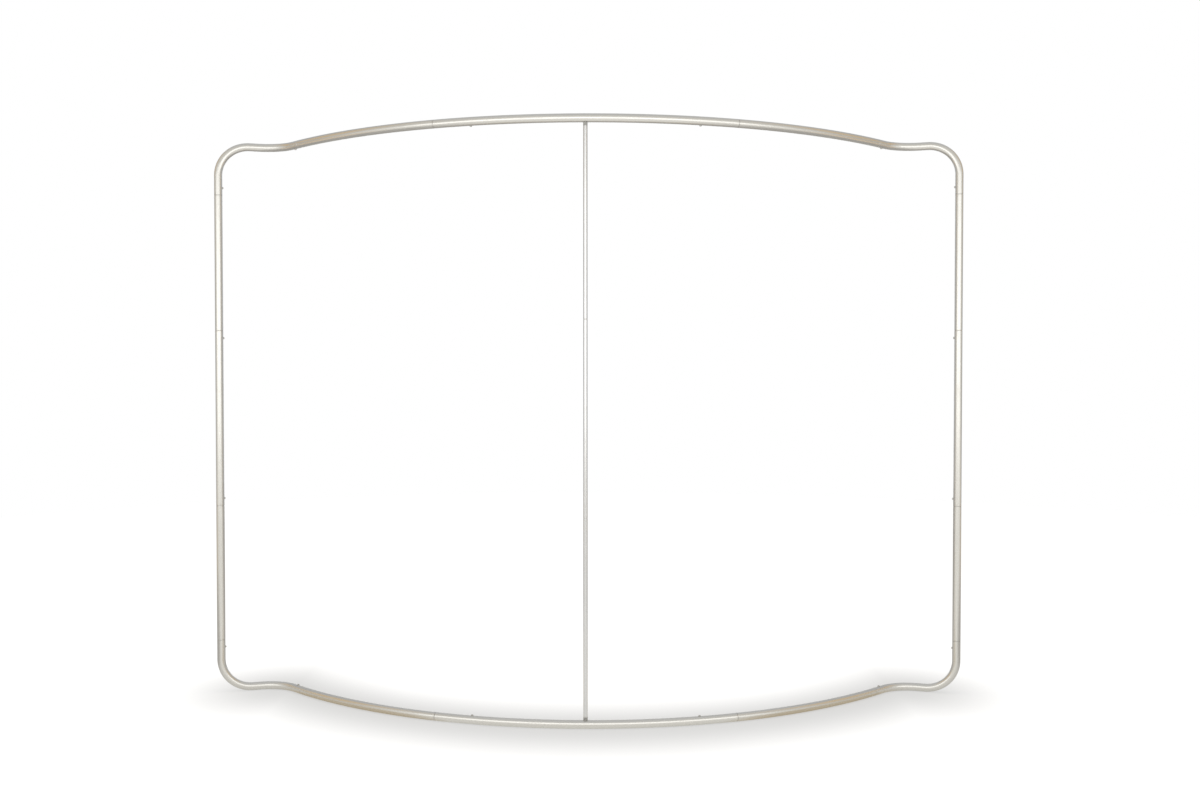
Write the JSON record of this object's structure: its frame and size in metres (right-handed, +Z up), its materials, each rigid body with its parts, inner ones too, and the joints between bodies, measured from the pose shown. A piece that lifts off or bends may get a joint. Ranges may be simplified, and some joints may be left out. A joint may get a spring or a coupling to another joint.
{
  "type": "curved fabric banner stand frame",
  "caption": "Bare curved tube frame of a free-standing fabric banner stand, knocked down at snap-button joints, with recurved corners and a slim centre pole.",
  "frame": {"origin": "on the floor, at the middle of the width and of the depth", "axes": "+X along the width to the right, +Y to the rear, away from the bowed-out middle of the rails, +Z up"},
  "size_m": [3.0378, 0.5311, 2.25],
  "materials": {
    "tube_aluminium": "satin anodised",
    "pole_aluminium": "satin anodised",
    "spigot_aluminium": "mill finish",
    "button_steel": "plain steel",
    "spring_steel": "tempered strip",
    "plug_plastic": "moulded, matt"
  },
  "bodies": {
    "frame": {"bottom_rail_centre": "tube_aluminium", "bottom_rail_left": "tube_aluminium", "bottom_rail_right": "tube_aluminium", "button_springs": "spring_steel", "corner_bottom_left": "tube_aluminium", "corner_bottom_right": "tube_aluminium", "corner_top_left": "tube_aluminium", "corner_top_right": "tube_aluminium", "pole_lower": "pole_aluminium", "pole_middle": "pole_aluminium", "pole_plug_bottom": "plug_plastic", "pole_plug_top": "plug_plastic", "pole_spigot_lower": "pole_aluminium", "pole_spigot_upper": "pole_aluminium", "pole_upper": "pole_aluminium", "rail_centre_spigots": "spigot_aluminium", "rail_end_spigots": "spigot_aluminium", "top_rail_centre": "tube_aluminium", "top_rail_left": "tube_aluminium", "top_rail_right": "tube_aluminium", "upright_left_lower": "tube_aluminium", "upright_left_middle": "tube_aluminium", "upright_left_upper": "tube_aluminium", "upright_right_lower": "tube_aluminium", "upright_right_middle": "tube_aluminium", "upright_right_upper": "tube_aluminium", "upright_spigots": "spigot_aluminium"},
    "button_bottom_centre_left": {"button_bottom_centre_left": "button_steel"},
    "button_bottom_centre_right": {"button_bottom_centre_right": "button_steel"},
    "button_bottom_corner_left": {"button_bottom_corner_left": "button_steel"},
    "button_bottom_corner_right": {"button_bottom_corner_right": "button_steel"},
    "button_left_corner_bottom": {"button_left_corner_bottom": "button_steel"},
    "button_left_corner_top": {"button_left_corner_top": "button_steel"},
    "button_left_middle_lower": {"button_left_middle_lower": "button_steel"},
    "button_left_middle_upper": {"button_left_middle_upper": "button_steel"},
    "button_right_corner_bottom": {"button_right_corner_bottom": "button_steel"},
    "button_right_corner_top": {"button_right_corner_top": "button_steel"},
    "button_right_middle_lower": {"button_right_middle_lower": "button_steel"},
    "button_right_middle_upper": {"button_right_middle_upper": "button_steel"},
    "button_top_centre_left": {"button_top_centre_left": "button_steel"},
    "button_top_centre_right": {"button_top_centre_right": "button_steel"},
    "button_top_corner_left": {"button_top_corner_left": "button_steel"},
    "button_top_corner_right": {"button_top_corner_right": "button_steel"}
  },
  "joints": [
    {"name": "press_bottom_centre_left", "type": "slide", "parent": "frame", "child": "button_bottom_centre_left", "axis": [0, 0, -1], "range_m": [0, 0.006], "stiffness_N_per_m": 1000, "springref_m": -0.003, "deforming": ["button_springs"]},
    {"name": "press_bottom_centre_right", "type": "slide", "parent": "frame", "child": "button_bottom_centre_right", "axis": [0, 0, -1], "range_m": [0, 0.006], "stiffness_N_per_m": 1000, "springref_m": -0.003, "deforming": ["button_springs"]},
    {"name": "press_bottom_corner_left", "type": "slide", "parent": "frame", "child": "button_bottom_corner_left", "axis": [0, 0, -1], "range_m": [0, 0.006], "stiffness_N_per_m": 1000, "springref_m": -0.003, "deforming": ["button_springs"]},
    {"name": "press_bottom_corner_right", "type": "slide", "parent": "frame", "child": "button_bottom_corner_right", "axis": [0, 0, -1], "range_m": [0, 0.006], "stiffness_N_per_m": 1000, "springref_m": -0.003, "deforming": ["button_springs"]},
    {"name": "press_left_corner_bottom", "type": "slide", "parent": "frame", "child": "button_left_corner_bottom", "axis": [-0.96, -0.2802, 0], "range_m": [0, 0.006], "stiffness_N_per_m": 1000, "springref_m": -0.003, "deforming": ["button_springs"]},
    {"name": "press_left_corner_top", "type": "slide", "parent": "frame", "child": "button_left_corner_top", "axis": [-0.96, -0.2802, 0], "range_m": [0, 0.006], "stiffness_N_per_m": 1000, "springref_m": -0.003, "deforming": ["button_springs"]},
    {"name": "press_left_middle_lower", "type": "slide", "parent": "frame", "child": "button_left_middle_lower", "axis": [-0.96, -0.2802, 0], "range_m": [0, 0.006], "stiffness_N_per_m": 1000, "springref_m": -0.003, "deforming": ["button_springs"]},
    {"name": "press_left_middle_upper", "type": "slide", "parent": "frame", "child": "button_left_middle_upper", "axis": [-0.96, -0.2802, 0], "range_m": [0, 0.006], "stiffness_N_per_m": 1000, "springref_m": -0.003, "deforming": ["button_springs"]},
    {"name": "press_right_corner_bottom", "type": "slide", "parent": "frame", "child": "button_right_corner_bottom", "axis": [0.96, -0.2802, 0], "range_m": [0, 0.006], "stiffness_N_per_m": 1000, "springref_m": -0.003, "deforming": ["button_springs"]},
    {"name": "press_right_corner_top", "type": "slide", "parent": "frame", "child": "button_right_corner_top", "axis": [0.96, -0.2802, 0], "range_m": [0, 0.006], "stiffness_N_per_m": 1000, "springref_m": -0.003, "deforming": ["button_springs"]},
    {"name": "press_right_middle_lower", "type": "slide", "parent": "frame", "child": "button_right_middle_lower", "axis": [0.96, -0.2802, 0], "range_m": [0, 0.006], "stiffness_N_per_m": 1000, "springref_m": -0.003, "deforming": ["button_springs"]},
    {"name": "press_right_middle_upper", "type": "slide", "parent": "frame", "child": "button_right_middle_upper", "axis": [0.96, -0.2802, 0], "range_m": [0, 0.006], "stiffness_N_per_m": 1000, "springref_m": -0.003, "deforming": ["button_springs"]},
    {"name": "press_top_centre_left", "type": "slide", "parent": "frame", "child": "button_top_centre_left", "axis": [0, 0, 1], "range_m": [0, 0.006], "stiffness_N_per_m": 1000, "springref_m": -0.003, "deforming": ["button_springs"]},
    {"name": "press_top_centre_right", "type": "slide", "parent": "frame", "child": "button_top_centre_right", "axis": [0, 0, 1], "range_m": [0, 0.006], "stiffness_N_per_m": 1000, "springref_m": -0.003, "deforming": ["button_springs"]},
    {"name": "press_top_corner_left", "type": "slide", "parent": "frame", "child": "button_top_corner_left", "axis": [0, 0, 1], "range_m": [0, 0.006], "stiffness_N_per_m": 1000, "springref_m": -0.003, "deforming": ["button_springs"]},
    {"name": "press_top_corner_right", "type": "slide", "parent": "frame", "child": "button_top_corner_right", "axis": [0, 0, 1], "range_m": [0, 0.006], "stiffness_N_per_m": 1000, "springref_m": -0.003, "deforming": ["button_springs"]}
  ]
}
